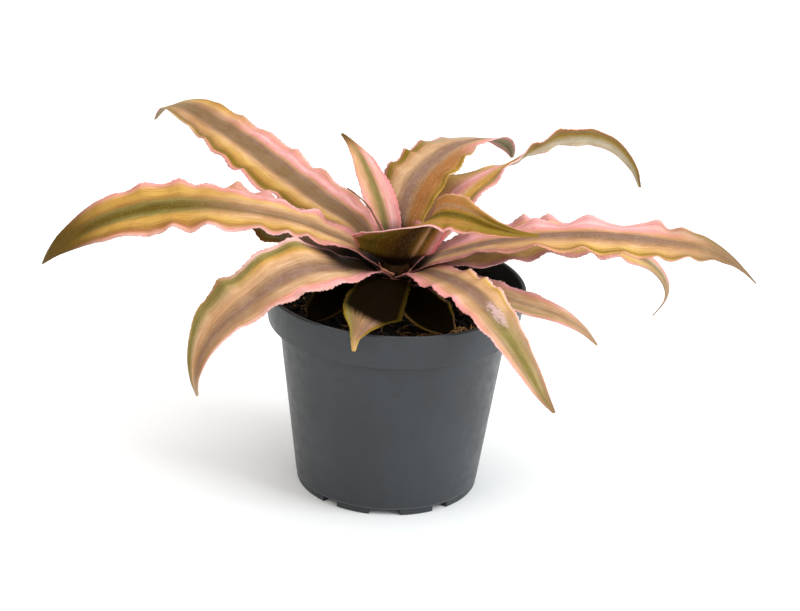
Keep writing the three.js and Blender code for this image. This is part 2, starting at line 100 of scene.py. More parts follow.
# Stripes are colours with their places across a leaf, from -100 at its right margin to 100 at its left one,
# as seen from the stem
PLAIN_STRIPES = ("-100 pink, -92 salmon, -80 honey, -68 gold, -50 straw, -30 tan, -18 taupe, 18 taupe, "
                 "30 tan, 50 straw, 68 gold, 80 honey, 92 salmon, 100 pink")
PLAIN_TIP = "-100 tan, -80 olive, -30 clay, 0 taupe, 30 clay, 80 olive, 100 tan"
UNDER_STRIPES = "-100 pink, -90 pink, -78 grey, -30 silver, 0 dun, 30 silver, 78 grey, 90 pink, 100 pink"
PLAIN_WAVES = (1.8, 20, 0, 1)


def sheath(level, azimuth, steepness, spread):
    """The stretch of a leaf that is wrapped about the stem."""
    height = LOWEST_LEAF + LEAF_STEP * level
    climb = [(LEAF_SEAT, 0, 1), (10, 2.3, 1), (14, 5.2, 0.88), (20, 8.6, 0.7)]
    return [(azimuth, radius, height + rise * steepness,
             radius * spread * narrowing, radius * spread * narrowing, 0)
            for radius, rise, narrowing in climb]


# What a leaf's entries say, with lengths in millimetres and shares of its whole length:
# line: its points from the stem out, as (azimuth, radius, height above the rim, left, right, roll)
# crests_left and crests_right: (length, height) where a margin's wave rises highest
# waves: a wave's height and length, and for a margin without crests where it starts, at left and right
# stripes, tip, end: its colours, those from tip_from on, and the one from end_from on
# under: the stripes of its underside
# dark: where the painted shade of the base starts and ends, and how far that slants across. shade: its
# colour
# rim: how much of the painted shade a margin takes. blush: how far the pink base reaches, in centimetres
# mark: a rubbed patch's share across and its length along in centimetres
# gloss, frill, cup, flare: its shine, fine frills, where it opens from the stem, how far its foot flares
LEAVES = {}
LEAVES["leaf_back_left"] = dict(
    line=[*sheath(4, 134, 1.05, 0.85), (132, 30, 19.4, 11.5, 14, -4), (131.5, 50, 22, 13.5, 14.5, -8),
          (132, 72, 26, 16.5, 15, -10), (132, 95, 30, 16.2, 15, -12), (132, 118, 34.5, 15.5, 13.2, -12),
          (132, 141, 36.5, 11, 13.8, -10), (132, 158, 38, 9, 12.5, -8), (132, 171, 36, 5.4, 7.5, -4),
          (132, 179, 31.6, 2.4, 2.6, 0), (132, 184.7, 25.1, 0.7, 0.7, 0)],
    crests_left=[(30, 1.5), (48, 1.6), (66, 2.1), (91, 2.2), (107, 1), (124, 1.4), (141, 0.9)],
    crests_right=[(28, 1.5), (46, 1.7), (67, 2), (87, 1.9), (107, 1), (128, 1), (147, 0.6)],
    stripes="-100 pale, -90 salmon, -78 pink, -68 pale, -56 pink, -46 tan, -34 mauve, -20 taupe, "
            "10 taupe, 20 clay, 32 peach, 44 straw, 58 gold, 70 honey, 78 olive, 87 olive, 93 salmon, "
            "100 pink",
    tip="-100 honey, -90 gold, -74 straw, -60 tan, -44 clay, -30 taupe, 10 taupe, 24 clay, 46 tan, "
        "64 tan, 78 clay, 88 olive, 100 sand",
    waves=(2, 21), tip_from=0.56, end="dun")
LEAVES["leaf_left"] = dict(
    line=[(182, 7.3, 8, 4.5, 6.2, 0), (182, 10, 10.8, 5, 8.5, 0), (182, 14, 14.2, 5.5, 10.5, 0),
          (182, 20, 18.3, 8, 11.9, 0), (182, 30, 22.5, 10.5, 12.5, -8), (182, 44, 28, 13, 12.5, -8),
          (182, 67, 32.5, 15, 13, -14), (182, 89, 34.5, 15, 14, -22), (182, 111, 32, 15, 14.5, -30),
          (182, 134, 24, 11.3, 13.2, -28), (182, 152, 12, 5.5, 8.8, -16),
          (182, 158, 6.4, 2.6, 3.8, -12), (182, 160, 4, 0.7, 0.7, -10)],
    crests_left=[(26, 1.2), (39, 1.3), (48, 1.2), (60, 2), (84, 2.6), (100, 2.6), (126, 0.7)],
    crests_right=[(22, 1.4), (36, 1.8), (54, 0.7), (72, 0.6), (84, 0.5), (97, 2), (114, 1.1), (128, 0.4)],
    stripes="-100 pale, -90 pink, -80 salmon, -66 straw, -48 sand, -36 tan, -24 clay, -10 clay, "
            "4 taupe, 16 tan, 30 peach, 50 straw, 62 gold, 72 honey, 82 tan, 88 salmon, 94 pink, "
            "100 pale",
    tip="-100 pink, -90 salmon, -76 gold, -56 gold, -42 honey, -28 green, -10 moss, 4 moss, 18 green, "
        "34 gold, 50 gold, 66 honey, 78 rust, 90 salmon, 100 pale",
    waves=(1.6, 20), tip_from=0.36, frill=0.6, end="bronze", end_from=0.74)
LEAVES["leaf_left_under"] = dict(
    line=[*sheath(2, 165, 1, 0.7), (165, 31, 14, 13, 11, -6), (165.5, 46, 17.4, 15, 11.5, -10),
          (165, 60, 22, 15, 14.5, -14), (165, 76, 26.5, 13, 15, -12), (165, 92, 28, 9, 11, -6),
          (165, 106, 25.5, 4.5, 4.5, 0), (165, 115, 21, 0.7, 0.7, 0)],
    crests_right=[(36, 1.2), (50, 0.8), (65, 1.8), (79, 3), (95, 0.6)],
    stripes="-100 pale, -80 pink, -62 salmon, -40 peach, -20 tan, 0 clay, 30 mauve, 60 grey, 76 sage, "
            "88 olive, 100 rust",
    tip="-100 gold, -50 gold, 0 dun, 50 sage, 100 olive",
    waves=(1.8, 20, 1, 0), dark=(16, 34, 0), shade="bark", gloss=0.02)
LEAVES["leaf_front_left"] = dict(
    line=[*sheath(3, 220, 1, 0.7), (220, 32, 15, 13, 16, -16), (220, 48, 18, 13.5, 18, -24),
          (220, 64, 16.5, 12.5, 18.5, -20), (220, 80, 10, 9.8, 18.5, -14), (220, 94, 3, 6.8, 17.5, -10),
          (220, 105, -6, 5.2, 10.5, -6), (221, 111, -18, 1.8, 4.5, 0), (222, 112, -25.4, 0.7, 0.7, 0)],
    crests_left=[(35, 1.5), (57, 1.6), (74, 0.9), (96, 0.4)],
    crests_right=[(22, 0.8), (46, 1.1), (62, 1.4), (81, 3.3), (100, 0.4)],
    stripes="-100 pale, -94 pale, -88 sage, -78 green, -68 gold, -56 peach, -36 sand, -22 clay, "
            "-10 mauve, 10 mauve, 22 clay, 36 sand, 56 sand, 68 salmon, 78 pink, 100 pale",
    tip="-100 tan, -92 green, -82 green, -70 dun, -56 sand, -36 tan, -18 clay, 0 mauve, 24 clay, "
        "50 clay, 80 tan, 100 pale",
    waves=(1.8, 24), tip_from=0.44, end="ash", end_from=0.9, frill=0.9, dark=(22, 36, -8))
LEAVES["leaf_front_over_rim"] = dict(
    line=[*sheath(2, 262, 0.85, 0.7), (260, 28, 10.5, 12, 12, 0), (258, 40, 8.8, 14, 12, 0),
          (257, 50, 6, 15, 11.5, -8), (256.7, 56, 4.6, 10.5, 8.5, 0), (256.4, 62, 2.9, 5.2, 4.4, 0),
          (256.2, 68, 0.9, 2, 1.8, 0), (257, 73, -2.4, 0.7, 0.7, 0)],
    stripes="-100 olive, -86 olive, -60 clay, -30 taupe, 30 clay, 70 olive, 100 moss",
    tip="-100 olive, -84 green, -50 taupe, 0 clay, 40 mauve, 70 clay, 90 olive, 100 olive",
    waves=(1, 18, 0, 1), tip_from=0.4, end="straw", end_from=0.86, dark=(47, 53, 4), shade="night",
    gloss=0.0, rim=0.85, blush=1.9)
LEAVES["leaf_front_right"] = dict(
    line=[*sheath(3, 310, 1, 0.7), (310, 30, 15, 10.5, 13, 4), (310, 53, 15.5, 10.5, 13.5, 6),
          (310, 70, 9.5, 8.5, 12.5, 6), (310, 85, 0, 5.5, 9, 6), (310, 97, -11, 4, 5.5, 6),
          (310, 104, -17, 2.4, 3, 6), (310, 110, -21, 0.7, 0.7, 6)],
    crests_left=[(21, 1), (35, 1.5), (46, 1.5), (56, 1.1), (70, 0.6), (84, 0.4)],
    crests_right=[(24, 1), (36, 1.4), (50, 1.2), (64, 0.7), (78, 0.4)],
    stripes="-100 pink, -90 pink, -78 salmon, -60 sand, -46 tan, -32 clay, -20 mauve, 10 mauve, "
            "22 clay, 36 sand, 50 peach, 70 peach, 84 gold, 92 straw, 100 pale",
    tip="-100 pale, -90 salmon, -78 sand, -62 husk, -46 dun, -32 green, -14 green, 2 sage, 16 dun, "
        "40 dun, 60 husk, 86 husk, 94 salmon, 100 pale",
    waves=(1.4, 16), tip_from=0.46, end="taupe", end_from=0.85, dark=(1, 7, 0), mark=(0.1, 6.6),
    frill=0.7)
LEAVES["leaf_right_small"] = dict(
    line=[*sheath(1, 338, 0.7, 0.8), (338, 30, 7.4, 11, 10, 0), (338, 46, 4.6, 10.5, 9.5, 4),
          (338, 62, 2.6, 10, 8.5, 6), (338, 78, 0.6, 7.5, 6.5, 4), (338, 90, -3.6, 4, 3.6, 0),
          (338, 98, -9.5, 0.7, 0.7, 0)],
    stripes="-100 pale, -84 sand, -60 dun, -30 sand, 0 husk, 30 sand, 50 sand, 76 salmon, 88 pink, "
            "100 pale",
    tip="-100 pink, -70 sand, 0 husk, 60 sand, 100 pale",
    waves=(0.5, 18, 0, 1), end="husk", dark=(16, 34, 0))
LEAVES["leaf_right"] = dict(
    line=[*sheath(4, 358, 1.05, 0.85), (358, 30, 19, 12, 12, 0), (358, 44, 23.2, 12.5, 13, 0),
          (358, 62, 27, 12.5, 14.5, 4), (358, 87, 29.4, 12, 16, 10), (358, 104, 29.4, 11.5, 16.5, 12),
          (358, 120, 28.2, 12, 15.5, 12), (358, 137, 26, 11.5, 11.5, 8), (358, 150, 21, 8, 5.5, 0),
          (358, 157, 16.2, 3.6, 2.2, 0), (358, 163, 10.8, 0.7, 0.7, 0)],
    crests_left=[(30, 1.5), (60, 2), (83, 2.5), (115, 2.3), (126, 1)],
    crests_right=[(33, 1), (60, 1.6), (81, 1.8), (99, 1.4), (114, 1.4), (128, 1.1), (140, 0.6)],
    stripes="-100 salmon, -92 gold, -84 olive, -74 gold, -60 straw, -46 peach, -34 tan, -22 clay, "
            "-10 mauve, 12 mauve, 24 tan, 36 salmon, 52 pink, 68 pale, 84 pink, 100 pale",
    tip="-100 salmon, -90 green, -76 tan, -56 sand, -36 tan, -10 clay, 10 clay, 30 tan, 60 sand, "
        "80 dun, 90 olive, 100 tan",
    waves=(2, 18), tip_from=0.62, end="taupe", end_from=0.74, blush=9)
LEAVES["leaf_right_under"] = dict(
    line=[*sheath(2, 22, 0.9, 0.7), (20, 29, 11.5, 13, 13, 4), (18, 45, 14, 15, 15, 10),
          (17, 69, 17.5, 15.5, 15.5, 12), (17, 93, 14, 13.5, 13, 12), (17, 108, 9.5, 9.5, 9, 18),
          (17, 118.8, 4.2, 6, 5.5, 30), (17, 127.5, -2, 3.6, 3.6, 40), (17, 132.6, -9, 2.8, 2.8, 45),
          (17, 134, -14.8, 2.4, 2.4, 45), (17, 132.6, -20, 1.6, 1.6, 40), (17, 128, -25.9, 0.7, 0.7, 30)],
    crests_left=[(30, 1.4), (45, 1.6), (61, 1.9), (72, 2), (91, 1.7), (100, 1.2)],
    stripes="-100 pale, -90 pink, -76 straw, -50 straw, -30 sand, -15 clay, 15 clay, 30 tan, "
            "50 salmon, 68 straw, 84 pink, 100 pale",
    tip="-100 grey, -50 dun, 0 grey, 40 silver, 80 pink, 100 pink",
    waves=(1.8, 20, 1, 0.5), tip_from=0.66, end="clay", dark=(8, 26, 0), shade="bark")
LEAVES["leaf_back_right"] = dict(
    line=[*sheath(5, 40, 1.42, 0.8), (40, 27, 27.5, 14.5, 12, 2), (40, 40, 37, 14.5, 11, 0),
          (40, 54, 42.5, 12, 10, -12), (40, 68, 46, 8, 7.5, -38), (40, 80, 48.5, 6, 6, -55),
          (40, 95, 51, 5.8, 5.8, -62), (40, 113, 49, 5.3, 5, -62), (40, 132, 41.2, 3.6, 3.4, -60),
          (40, 147.4, 26.3, 1.9, 1.9, -45), (40, 152.7, 15.7, 0.7, 0.7, -20)],
    stripes="-100 pale, -90 pink, -80 tan, -70 sage, -60 honey, -46 gold, -26 gold, -8 peach, "
            "4 salmon, 16 pink, 34 pale, 44 salmon, 54 peach, 80 straw, 94 straw, 100 sand",
    under="-100 rust, -80 taupe, -50 olive, -20 dun, 0 silver, 30 ash, 90 ash, 100 pale",
    waves=(1, 20, 0, 1), blush=2.2)
LEAVES["leaf_back"] = dict(
    line=[(84, 7, 10.2, 6, 6, 0), (84, 9.2, 17, 8.5, 8.5, 0), (82, 12, 25.5, 11, 10.5, 0),
          (78, 17, 34, 13.5, 12, 0), (71, 26, 42.5, 15.5, 13.5, 0), (65, 38, 47, 16.5, 12, 0),
          (63, 54, 49, 16, 10, -4), (61.5, 64.5, 48.8, 13, 7, -6), (60.5, 72.5, 48.2, 9, 6, -8),
          (59.5, 80, 47.2, 7, 7, -12), (58.2, 85.6, 45.4, 6.2, 6.6, -18), (57, 90, 42.6, 4.8, 5, -22),
          (56, 92.8, 39, 2.6, 2.6, -22), (55.5, 93.4, 35.6, 0.7, 0.7, -20)],
    crests_left=[(24, 0.8), (38, 1.4), (50, 1.5), (65, 1.2), (77, 0.8)],
    crests_right=[(30, 0.8), (45, 1.3), (60, 1.3), (76, 0.7)],
    stripes="-100 gold, -93 olive, -84 honey, -70 rust, -36 rust, -16 clay, -4 mauve, 14 mauve, "
            "28 clay, 42 sand, 58 sand, 72 tan, 84 olive, 93 olive, 100 pink",
    tip="-100 pale, -80 pink, -50 salmon, -24 sand, -6 clay, 20 mauve, 50 sand, 80 silver, 100 pale",
    under="-100 pale, -84 pink, -70 silver, 0 grey, 40 silver, 80 pink, 100 pale",
    waves=(1.4, 16), tip_from=0.5, end="silver", dark=(10, 20, 0), blush=1.9)
LEAVES["leaf_back_young"] = dict(
    line=[(128, 6.1, 13.6, 5, 5, 0), (128, 8, 20, 6.6, 6.6, 0), (127, 10.4, 27, 8, 8, 0),
          (126, 14.2, 33.5, 8.2, 8.2, 0), (126, 18.8, 39, 8, 8, 0), (126, 24.5, 45.5, 6.6, 6.6, 0),
          (126, 31, 51, 4.8, 4.8, 0), (126, 39, 55, 2.4, 2.4, 0), (126, 47, 57.5, 0.7, 0.7, 0)],
    stripes="-100 rose, -92 pink, -76 pale, -50 pale, -38 pink, -28 sand, -16 clay, 0 green, 20 sage, "
            "34 tan, 48 sand, 62 peach, 86 peach, 100 salmon",
    tip="-100 tan, -40 rust, 0 dun, 40 tan, 100 tan",
    waves=(0.7, 14, 0, 1), tip_from=0.66, frill=0.6, end="brown")
LEAVES["leaf_heart"] = dict(
    line=[(205, 5.1, 15.6, 2.6, 2.6, 0), (205, 6.2, 21, 2.4, 2.4, 0), (205, 8.4, 28, 2.2, 2.2, 0),
          (204, 12, 35, 1.8, 1.8, 0), (203, 17, 42, 1.4, 1.4, 0), (203, 25, 49, 0.8, 0.8, 0)],
    stripes="-100 rose, -60 pink, -20 rust, 20 rust, 60 salmon, 100 pink",
    tip="-100 rust, 0 brown, 100 rust",
    waves=(0, 10, 0, 0), tip_from=0.35, end="umber")
LEAVES["leaf_front_young"] = dict(
    line=[(288, 6.1, 12, 5.6, 10, 0), (289, 9.8, 18, 8.4, 17.5, 0), (291, 13.6, 25, 12, 23, 0),
          (298, 16, 31, 14, 19, 10), (312, 19, 36.5, 14.5, 14, 24), (324, 25, 41, 12.5, 11.5, 28),
          (332, 35, 40.6, 8.5, 10, 22), (336, 45, 37.5, 5.2, 7.5, 14), (340, 56, 35, 2.8, 4, 8),
          (342, 66, 34.8, 0.7, 0.7, 6)],
    stripes="-100 pale, -95 pink, -88 rust, -76 olive, -62 honey, -40 honey, -26 olive, -12 moss, "
            "0 moss, 10 olive, 24 rust, 40 clay, 56 rust, 76 rust, 92 honey, 100 salmon",
    tip="-100 salmon, -90 rust, -76 olive, -40 olive, -20 bronze, 0 bronze, 20 olive, 50 brown, "
        "80 olive, 100 salmon",
    under="-100 rose, -95 pink, -90 olive, -70 moss, -46 brown, -20 umber, 10 umber, 30 brown, 46 tan, "
          "58 brown, 76 rust, 90 pink, 100 rose",
    waves=(0.5, 14, 0, 1), cup=(20, 36), flare=7.5, frill=0.8, tip_from=0.5, end="olive", gloss=0.03,
    blush=1.9)
LEAVES["leaf_front_low"] = dict(
    line=[*sheath(0, 292, 0.7, 0.56), (293, 27, 3.2, 10.5, 11, 6), (296, 36, 0.2, 11, 10.5, 8),
          (299, 43, -2.6, 8, 8, 6), (301, 48, -4.6, 3.5, 3.5, 4)],
    stripes="-100 tan, -92 olive, -60 moss, 0 umber, 60 moss, 92 olive, 100 tan",
    tip="-100 olive, 0 moss, 100 olive",
    waves=(1.4, 14, 0, 1), dark=(44, 70, 0), shade="night", gloss=0.0, blush=1.9)
LEAVES["leaf_left_low"] = dict(
    line=[*sheath(0, 222, 0.65, 0.56), (222, 28, 4.4, 11, 11, 0), (223, 38, 1.2, 11.5, 11.5, 0),
          (224, 46, -2.4, 8, 8, 0), (224, 50.5, -4.6, 3, 3, 0)],
    stripes="-100 olive, -90 moss, 0 umber, 90 moss, 100 olive",
    tip="-100 olive, 0 moss, 100 olive",
    waves=(1.2, 14, 0, 1), dark=(46, 70, 0), shade="night", gloss=0.0, rim=0.8, blush=1.9)
LEAVES["leaf_back_low_1"] = dict(
    line=[*sheath(0, 102, 0.8, 0.8), (100, 30, 7, 12, 12, 0), (98, 48, 7, 12.5, 12.5, 0),
          (97, 64, 5, 11, 11, 0), (96, 80, -1, 7, 7, 0), (96, 90, -8, 0.7, 0.7, 0)])
LEAVES["leaf_back_low_2"] = dict(
    line=[*sheath(1, 136, 0.9, 0.8), (132, 30, 10.5, 12, 12, 0), (127, 48, 13, 12.5, 12.5, 0),
          (123, 68, 12.5, 12, 12, 0), (121, 86, 7, 8.5, 8.5, 0), (120, 100, -3, 0.7, 0.7, 0)])
LEAVES["leaf_back_low_3"] = dict(
    line=[*sheath(3, 76, 0.95, 0.7), (76, 30, 14.5, 12, 12, 0), (76, 48, 16.5, 13, 13, 0),
          (76, 66, 12.5, 12, 12, 0), (76, 82, 5.5, 8, 8, 0), (76, 94, -4, 0.7, 0.7, 0)])


def add_object(name, data):
    made = bpy.data.objects.new(name, data)
    bpy.context.scene.collection.objects.link(made)
    return made


def smoothstep(low, high, value):
    share = np.clip((value - low) / (high - low), 0, 1)
    return share * share * (3 - 2 * share)


def unit(vectors):
    return vectors / np.maximum(np.linalg.norm(vectors, axis=-1, keepdims=True), 1e-9)


def each_column(change, table):
    return np.column_stack([change(column) for column in table.T])


def catmull_rom(points, per_span):
    """A centripetal Catmull-Rom curve through the points."""
    padded = np.vstack([2 * points[0] - points[1], points, 2 * points[-1] - points[-2]])
    curve = []
    for k in range(1, len(padded) - 2):
        before, start, end, after = padded[k - 1:k + 3]
        knots = [np.sqrt(np.linalg.norm(b - a)) for a, b in ((before, start), (start, end), (end, after))]
        middle = (end - start) / knots[1]
        leave = (start - before) / knots[0] - (end - before) / (knots[0] + knots[1]) + middle
        arrive = middle - (after - start) / (knots[1] + knots[2]) + (after - end) / knots[2]
        leave = leave * knots[1]
        arrive = arrive * knots[1]
        last = k == len(padded) - 3
        t = np.linspace(0, 1, per_span + 1)[:None if last else -1, None]
        curve.append(start + leave * t + (3 * (end - start) - 2 * leave - arrive) * t ** 2
                     + (2 * (start - end) + leave + arrive) * t ** 3)
    return np.vstack(curve)


def wobble(lengths, spacing, seed):
    """A smooth random line between -1 and 1, with a new value every spacing."""
    draw = np.random.default_rng(seed)
    values = draw.uniform(-1, 1, int(lengths[-1] / spacing) + 3)
    place = lengths / spacing
    low = np.floor(place).astype(int)
    share = smoothstep(0, 1, place - low)
    return values[low] * (1 - share) + values[low + 1] * share


def margin_wave(lengths, waves, crests, side):
    """The rise of a margin in millimetres, with pointed crests and round troughs between them."""
    height, spacing = waves[:2]
    total = lengths[-1]
    if crests:
        places, sizes = zip(*crests)
        first = places[0] - spacing
        phase = np.interp(lengths, [first, *places, places[-1] + spacing], np.arange(len(places) + 2))
        size = np.interp(lengths, [first, *places, places[-1] + 0.6 * spacing], [0, *sizes, 0])
    else:
        start = waves[2 + side]
        phase = lengths / spacing + start / (2 * pi) - 0.25
        phase = phase + 0.16 * wobble(lengths, spacing * 0.8, int(start * 10) + 5)
        size = height * smoothstep(12, 40, lengths) * (1 - smoothstep(0.55 * total, 0.85 * total, lengths))
    return size * (1 - 2 * np.abs(np.sin(pi * phase)) ** WAVE_POINT)


def margin_teeth(lengths, seed):
    """How far the teeth of a margin reach out: a saw that leans to the tip, with uneven teeth."""
    draw = np.random.default_rng(seed)
    total = lengths[-1]
    starts = [0.0]
    while starts[-1] < total:
        starts.append(starts[-1] + TOOTH_LENGTH * draw.uniform(0.65, 1.5))
    starts = np.array(starts)
    heights = draw.uniform(0.3, 0.95, len(starts))
    tooth = np.clip(np.searchsorted(starts, lengths, side="right") - 1, 0, len(starts) - 2)
    share = (lengths - starts[tooth]) / (starts[tooth + 1] - starts[tooth])
    saw = np.where(share < 0.75, share / 0.75, (1 - share) / 0.25)
    return heights[tooth] * saw * (1 - 0.75 * smoothstep(0.5, 0.85, lengths / total))


def blade(leaf, seed):
    """A leaf's middle surface as rows by columns of points, with each column's share and row's length."""
    line = np.array(leaf["line"], float)
    azimuths = np.radians(line[:, 0])
    heights = line[:, 2] + RIM_HEIGHT / MM
    points = np.column_stack([line[:, 1] * np.cos(azimuths), line[:, 1] * np.sin(azimuths), heights])
    curve = catmull_rom(points, per_span=24)
    spans = np.linspace(0, len(points) - 1, len(curve))
    length = np.concatenate([[0], np.cumsum(np.linalg.norm(np.diff(curve, axis=0), axis=1))])
    along = np.linspace(0, length[-1], int(round(length[-1] / ROW_SPACING)) + 1)

    def carried(values):
        return np.interp(along, length, values)

    def smoothed(values):
        padded = np.pad(values, ROWS_SMOOTHED // 2, mode="edge")
        return np.convolve(padded, np.ones(ROWS_SMOOTHED) / ROWS_SMOOTHED, "valid")

    rib = each_column(carried, curve)
    left, right, roll = [carried(np.interp(spans, np.arange(len(line)), line[:, k])) for k in (3, 4, 5)]
    roll = np.radians(roll)[:, None]
    tangent = unit(each_column(smoothed, np.gradient(rib, axis=0)))
    azimuth = np.arctan2(rib[:, 1], rib[:, 0])
    sideways = np.column_stack([-np.sin(azimuth), np.cos(azimuth), 0 * azimuth])
    across = unit(sideways - tangent * np.sum(sideways * tangent, axis=1)[:, None])
    out = np.cross(tangent, across)
    side = np.cos(roll) * across + np.sin(roll) * out
    face = np.cos(roll) * out - np.sin(roll) * across
    opened = smoothstep(*leaf.get("cup", (14, 34)), along)
    radius = np.hypot(rib[:, 0], rib[:, 1])
    rises = leaf.get("waves", PLAIN_WAVES)
    waves = {1: margin_wave(along, rises, leaf.get("crests_left"), 0),
             -1: margin_wave(along, rises, leaf.get("crests_right"), 1)}
    teeth = {sign: margin_teeth(along, seed * 7 + sign) for sign in (1, -1)}
    fading = 1 - smoothstep(0.55, 0.9, along / along[-1])
    frills = {sign: leaf.get("frill", 0.4) * fading * wobble(along, FRILL_LENGTH, seed * 11 + sign)
              for sign in (1, -1)}
    even = np.linspace(-1, 1, COLUMNS)
    shares = 0.55 * np.sin(pi / 2 * even) + 0.45 * even
    grid = np.zeros((len(along), COLUMNS, 3))
    for j, share in enumerate(shares):
        sign = 1 if share >= 0 else -1
        reach = share * (left if share > 0 else right)
        reach = reach * (1 + 0.03 * wobble(along, WIDTH_LENGTH, seed * 3 + sign))
        if j in (0, COLUMNS - 1):
            reach = reach + sign * teeth[sign]
        swell = 1 + 0.15 * wobble(along, SWELL_LENGTH, seed * 5 + sign)
        frill = frills[sign] * smoothstep(0.55, 1, abs(share))
        wave = share * share * waves[sign] * swell + frill
        lift = 2 * FOLD_RATIO * np.abs(reach) * sqrt(abs(share)) + wave
        free = rib + side * reach[:, None] + face * lift[:, None]
        turn = azimuth + reach / radius
        around = radius + leaf.get("flare", 0) * share * share * smoothstep(0, FLARE_LENGTH, along)
        wrapped = np.column_stack([around * np.cos(turn), around * np.sin(turn), rib[:, 2] + frill])
        grid[:, j] = wrapped + (free - wrapped) * opened[:, None]
    return grid, shares, along


def leaf_piece(name, leaf, seed):
    """A leaf with its two faces and its edge, and with its own place on it kept for its materials."""
    grid, shares, along = blade(leaf, seed)
    rows, columns = grid.shape[:2]
    normal = unit(np.cross(np.gradient(grid, axis=0), np.gradient(grid, axis=1)))
    thickness = RIB_THICKNESS + (MARGIN_THICKNESS - RIB_THICKNESS) * np.abs(shares) ** 0.8
    taper = 1 - 0.5 * smoothstep(along[-1] - 25, along[-1], along)
    half = (0.5 * taper[:, None] * thickness[None, :])[:, :, None]
    points = np.concatenate([grid + normal * half, grid - normal * half]).reshape(-1, 3) * MM
    index = np.arange(rows * columns).reshape(rows, columns)
    corner = index[:-1, :-1].ravel()
    top = np.column_stack([corner, corner + columns, corner + columns + 1, corner + 1])
    bottom = top[:, [0, 3, 2, 1]] + index.size
    ring = np.concatenate([index[:, 0], index[-1, 1:], index[-2::-1, -1], index[0, -2:0:-1]])
    following = np.roll(ring, -1)
    border = np.column_stack([ring, ring + index.size, following + index.size, following])
    mesh = bpy.data.meshes.new(name + "_blade")
    faces = np.concatenate([top, bottom, border])
    mesh.from_pydata(points.tolist(), [], faces.tolist(), shade_flat=False)
    lower = np.zeros(len(faces), np.int32)
    lower[len(top):2 * len(top)] = 1
    mesh.polygons.foreach_set("material_index", lower)
    mesh.validate()
    places = {"across": np.tile(shares, rows), "reach": np.repeat(along / 10, columns),
              "along": np.repeat(along / along[-1], columns)}
    for label, values in places.items():
        attribute = mesh.attributes.new(label, "FLOAT", "POINT")
        attribute.data.foreach_set("value", np.tile(values, 2).astype(np.float32))
    mesh.materials.append(leaf_upper(name, leaf, seed))
    mesh.materials.append(leaf_lower(name, leaf, seed))
    piece = add_object(name + "_blade", mesh)
    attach(piece, "root")
    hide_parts(name)


# Shader helpers, in which a value is a number, a colour or another node's output

def new_material(name):
    material = bpy.data.materials.new(name)
    material.use_nodes = True
    tree = material.node_tree
    return material, tree, next(n for n in tree.nodes if n.type == "BSDF_PRINCIPLED")


def put(tree, socket, value):
    if isinstance(value, bpy.types.NodeSocket):
        tree.links.new(value, socket)
    else:
        socket.default_value = value


def new_node(tree, kind, values):
    node = tree.nodes.new("ShaderNode" + kind)
    for name, value in values.items():
        put(tree, node.inputs[name], value)
    return node


def math_node(tree, operation, *values):
    node = new_node(tree, "Math", dict(enumerate(values)))
    node.operation = operation
    return node.outputs[0]


def times(tree, first, second):
    return math_node(tree, "MULTIPLY", first, second)


def swayed(tree, value, sway, size):
    """A value moved up and down by a size where a noise is above and below its middle."""
    return math_node(tree, "MULTIPLY_ADD", math_node(tree, "SUBTRACT", sway, 0.5), size, value)


def attribute(tree, name):
    node = tree.nodes.new("ShaderNodeAttribute")
    node.attribute_name = name
    return node.outputs["Fac"]


def vector(tree, *values):
    return new_node(tree, "CombineXYZ", dict(enumerate(values))).outputs[0]


def noise_node(tree, place, scale=1.0, detail=2.0, roughness=0.5):
    return new_node(tree, "TexNoise", {"Vector": place, "Scale": scale, "Detail": detail,
                                       "Roughness": roughness}).outputs["Fac"]


def leaf_noise(tree, across, reach, fine, long, offset, **noise_values):
    """A noise on a leaf, with how fast it changes across and along it."""
    place = vector(tree, times(tree, across, fine), times(tree, reach, long), offset)
    return noise_node(tree, place, **noise_values)


def object_place(tree):
    return tree.nodes.new("ShaderNodeTexCoord").outputs["Object"]


def remap(tree, value, low, high, to_low=0.0, to_high=1.0):
    node = new_node(tree, "MapRange", {"Value": value, "From Min": low, "From Max": high,
                                       "To Min": to_low, "To Max": to_high})
    node.interpolation_type = "SMOOTHSTEP"
    return node.outputs["Result"]


def mix(tree, share, first, second, blend="MIX"):
    node = tree.nodes.new("ShaderNodeMix")
    node.data_type = "RGBA"
    node.blend_type = blend
    put(tree, node.inputs["Factor"], share)
    for socket, colour in zip([s for s in node.inputs if s.type == "RGBA"], (first, second)):
        put(tree, socket, colour)
    return next(s for s in node.outputs if s.type == "RGBA")


def stripes_ramp(tree, place, stripes):
    """The colours of a text of stripes, where place runs from -1 to 1 across the leaf."""
    node = new_node(tree, "ValToRGB", {"Fac": math_node(tree, "MULTIPLY_ADD", place, 0.5, 0.5)})
    elements = node.color_ramp.elements
    elements.remove(elements[1])
    for k, stripe in enumerate(stripes.split(", ")):
        percent, colour = stripe.split()
        element = elements.new((int(percent) / 100 + 1) / 2) if k else elements[0]
        element.color = PALETTE[colour]
    return node.outputs["Color"]


def finish(tree, shader, colour, gloss, roughness, height, strength, depth):
    """Sets a shader's colour, gloss and roughness, and a bump whose depth is in metres."""
    put(tree, shader.inputs["Base Color"], colour)
    put(tree, shader.inputs["Roughness"], roughness)
    shader.inputs["Specular IOR Level"].default_value = gloss
    bump = new_node(tree, "Bump", {"Height": height, "Strength": strength, "Distance": depth})
    tree.links.new(bump.outputs["Normal"], shader.inputs["Normal"])


